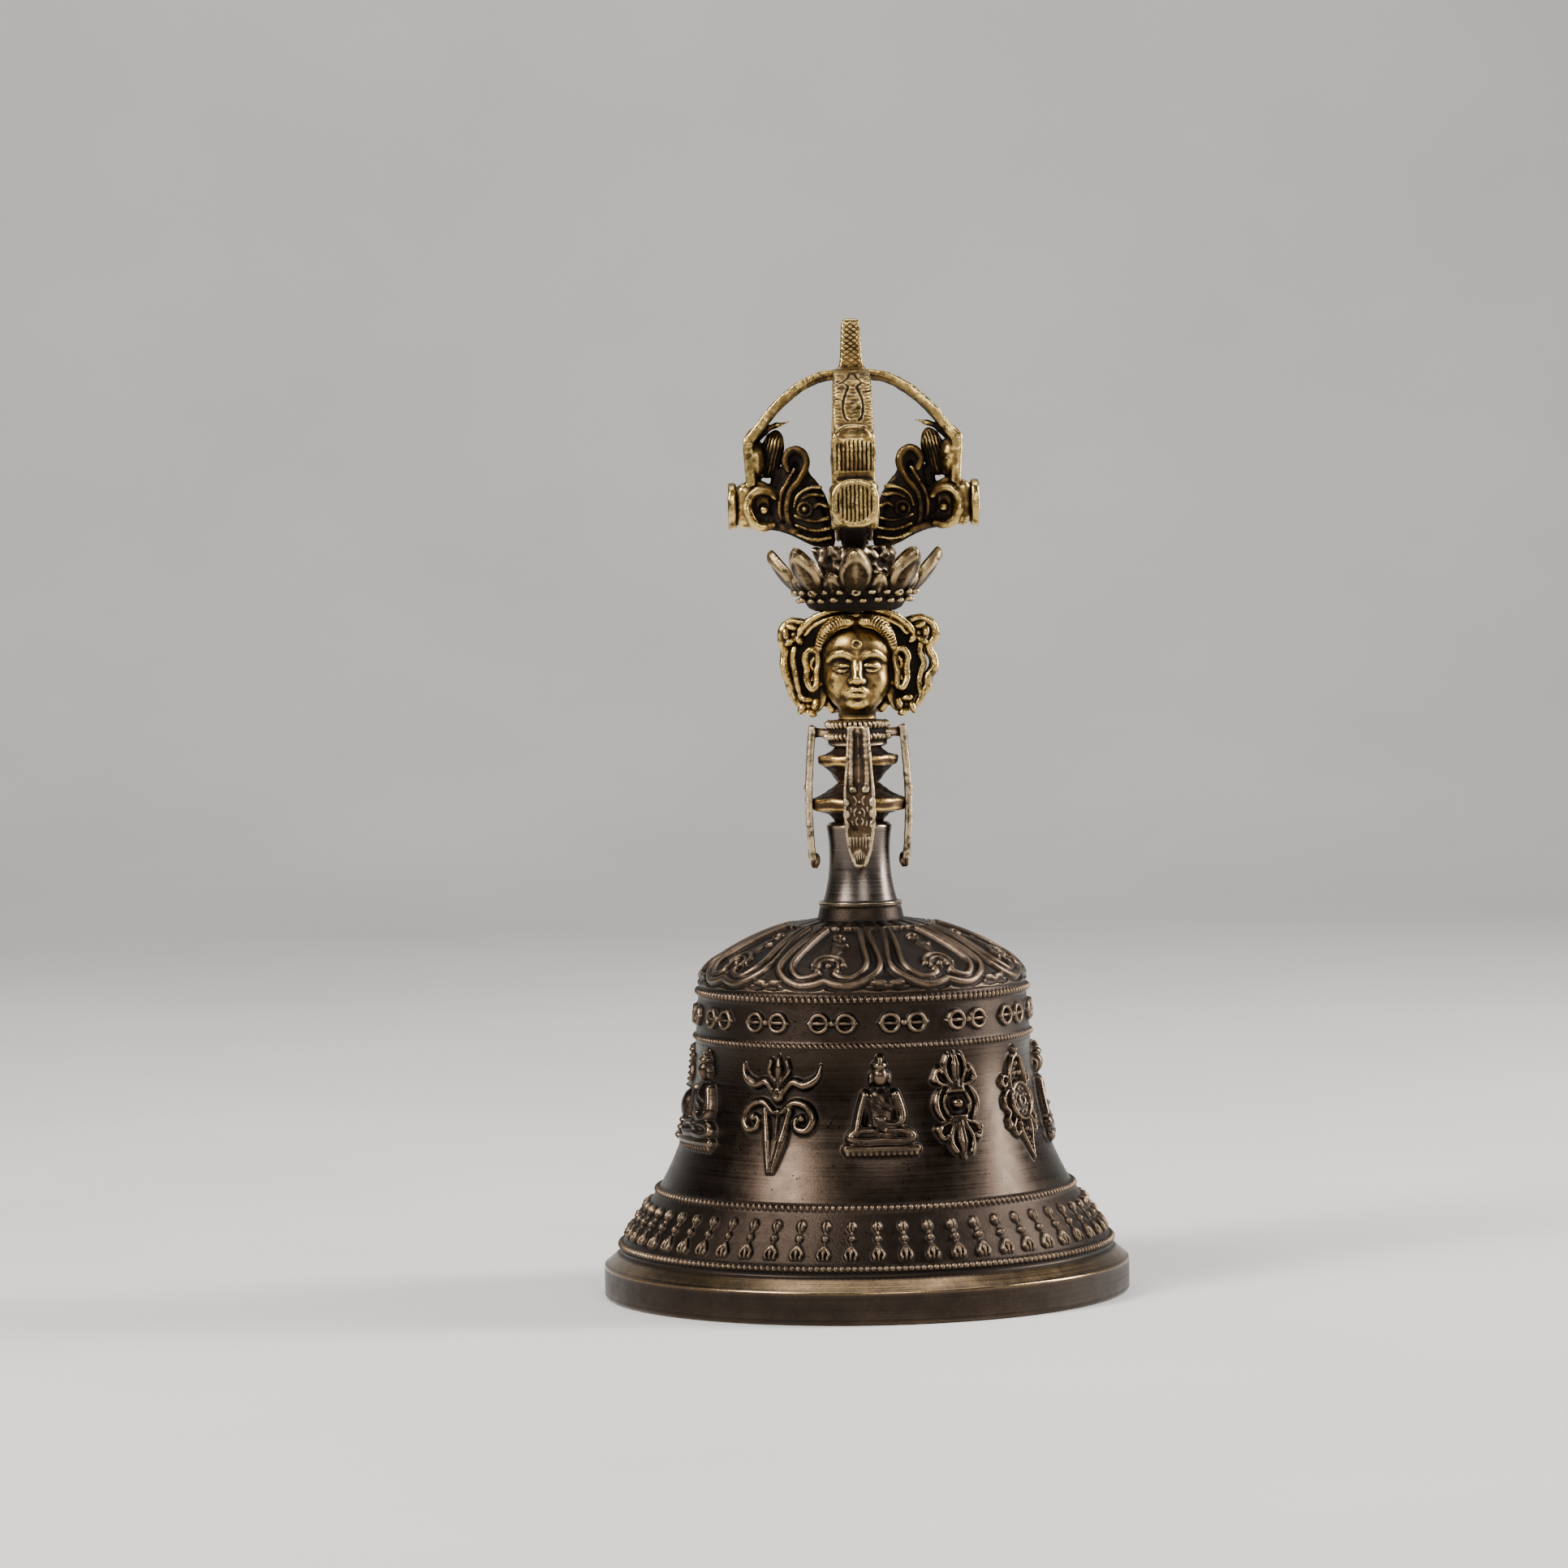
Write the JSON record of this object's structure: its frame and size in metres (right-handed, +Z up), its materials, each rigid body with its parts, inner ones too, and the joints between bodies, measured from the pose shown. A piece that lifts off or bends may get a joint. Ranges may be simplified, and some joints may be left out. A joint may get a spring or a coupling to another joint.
{
  "type": "tibetan bell",
  "caption": "Hand bell with a flared cast bell, a turned neck, a cast handle with a head, a lotus and a half vajra, and a clapper on a loose link.",
  "frame": {"origin": "on the bell's axis, in the plane of the lip's flat foot", "axes": "+Z up along the bell's axis to the handle's tip, -Y is the side that the face on the handle looks to, +X is to the right of a viewer who looks at that face"},
  "size_m": [0.094, 0.094, 0.1738],
  "materials": {
    "bell_bronze": "dark brown patinated bell bronze, satin, with lighter worn edges",
    "turned_bronze": "lathe turned brown bronze",
    "handle_brass": "cast yellow brass, polished on the high points and dark in the recesses",
    "worn_brass": "cast brass with worn pale edges and dark recesses",
    "clapper_iron": "dark forged iron",
    "rod_steel": "plain steel"
  },
  "bodies": {
    "bell": {"bell_body": "bell_bronze", "neck_sleeve": "turned_bronze", "central_rod": "rod_steel", "crown_washer": "rod_steel", "eye_nut": "clapper_iron", "lower_disc": "handle_brass", "upper_disc": "handle_brass", "bead_collar": "handle_brass", "head": "handle_brass", "lotus_crown": "worn_brass", "vajra_hub": "worn_brass", "centre_prong": "handle_brass", "leaf_right": "worn_brass", "prong_right": "handle_brass", "leaf_back": "worn_brass", "prong_back": "handle_brass", "leaf_left": "worn_brass", "prong_left": "handle_brass", "leaf_front": "worn_brass", "prong_front": "handle_brass"},
    "link": {"suspension_link": "clapper_iron"},
    "clapper": {"clapper_shank": "clapper_iron", "clapper_striker": "clapper_iron"}
  },
  "joints": [
    {"name": "link_swing", "type": "hinge", "parent": "bell", "child": "link", "pos_m": [0, 0, 0.052], "axis": [1, 0, 0], "range_deg": [-16, 16]},
    {"name": "clapper_swing", "type": "hinge", "parent": "link", "child": "clapper", "pos_m": [0, 0, 0.04713], "axis": [0, 1, 0], "range_deg": [-37, 37]}
  ]
}
